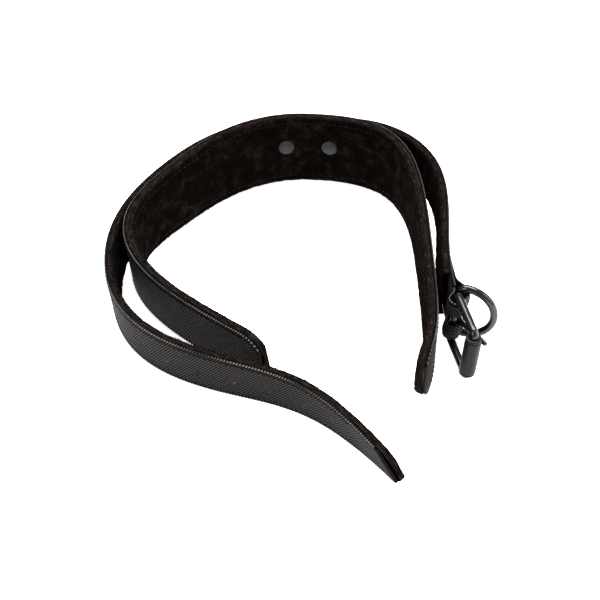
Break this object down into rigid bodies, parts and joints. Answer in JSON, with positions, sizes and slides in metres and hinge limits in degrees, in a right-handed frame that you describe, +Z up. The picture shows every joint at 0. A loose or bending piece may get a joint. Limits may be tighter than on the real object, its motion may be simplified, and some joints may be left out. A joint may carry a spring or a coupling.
{
  "type": "padded neck strap with buckle",
  "caption": "Padded velvet-lined neck strap with a narrower riveted belt, a punched tail, a D-ring and a roller buckle.",
  "frame": {"origin": "back centre of the band, in the middle of its lower edge", "axes": "+X right, +Y towards the back of the neck, +Z up along the strap's width; the open front faces -Y"},
  "size_m": [0.1821, 0.2498, 0.0395],
  "materials": {
    "webbing_twill": "diagonal ribs",
    "velvet": "short pile",
    "foam": "open-cell foam",
    "thread": "twisted thread",
    "dark_metal": "black nickel, glossy",
    "roller_metal": "black nickel, satin",
    "rivet_metal": "matt grey"
  },
  "bodies": {
    "band": {"band_webbing": "webbing_twill", "band_padding": "foam", "band_lining": "velvet", "band_stitching_upper": "thread", "band_stitching_lower": "thread", "belt_webbing_back": "webbing_twill", "belt_lining_back": "velvet", "belt_stitching_back": "thread", "rivet_posts": "rivet_metal", "rivet_inner_caps": "rivet_metal", "rivet_outer_caps": "rivet_metal"},
    "belt_tail": {"belt_webbing_tail": "webbing_twill", "belt_lining_tail": "velvet", "belt_stitching_tail": "thread"},
    "belt_arm": {"belt_webbing_arm": "webbing_twill", "belt_lining_arm": "velvet", "belt_stitching_arm": "thread", "belt_end_fold": "webbing_twill", "fold_stitching": "thread"},
    "ring": {"d_ring": "dark_metal"},
    "frame": {"buckle_frame": "dark_metal"},
    "roller": {"buckle_roller": "roller_metal"},
    "prong": {"buckle_prong": "dark_metal"}
  },
  "joints": [
    {"name": "tail_flex", "type": "hinge", "parent": "band", "child": "belt_tail", "pos_m": [-0.09595, -0.07909, 0.016], "axis": [0, 0, -1], "range_deg": [0, 25]},
    {"name": "arm_flex", "type": "hinge", "parent": "band", "child": "belt_arm", "pos_m": [0.05055, -0.0118, 0.02], "axis": [0, 0, 1], "range_deg": [0, 20]},
    {"name": "ring_swing", "type": "hinge", "parent": "belt_arm", "child": "ring", "pos_m": [0.06596, -0.13616, 0.01852], "axis": [0.1197, -0.0891, 0.9888], "range_deg": [-30, 75]},
    {"name": "buckle_swing", "type": "hinge", "parent": "belt_arm", "child": "frame", "pos_m": [0.06368, -0.14131, 0.01834], "axis": [0.1197, -0.0891, 0.9888], "range_deg": [-12, 20]},
    {"name": "roller_spin", "type": "hinge", "parent": "frame", "child": "roller", "pos_m": [0.06904, -0.16577, 0.01548], "axis": [0.1197, -0.0891, 0.9888], "continuous": true},
    {"name": "prong_swing", "type": "hinge", "parent": "frame", "child": "prong", "pos_m": [0.06368, -0.14131, 0.01834], "axis": [0.1197, -0.0891, 0.9888], "range_deg": [0, 48]}
  ]
}
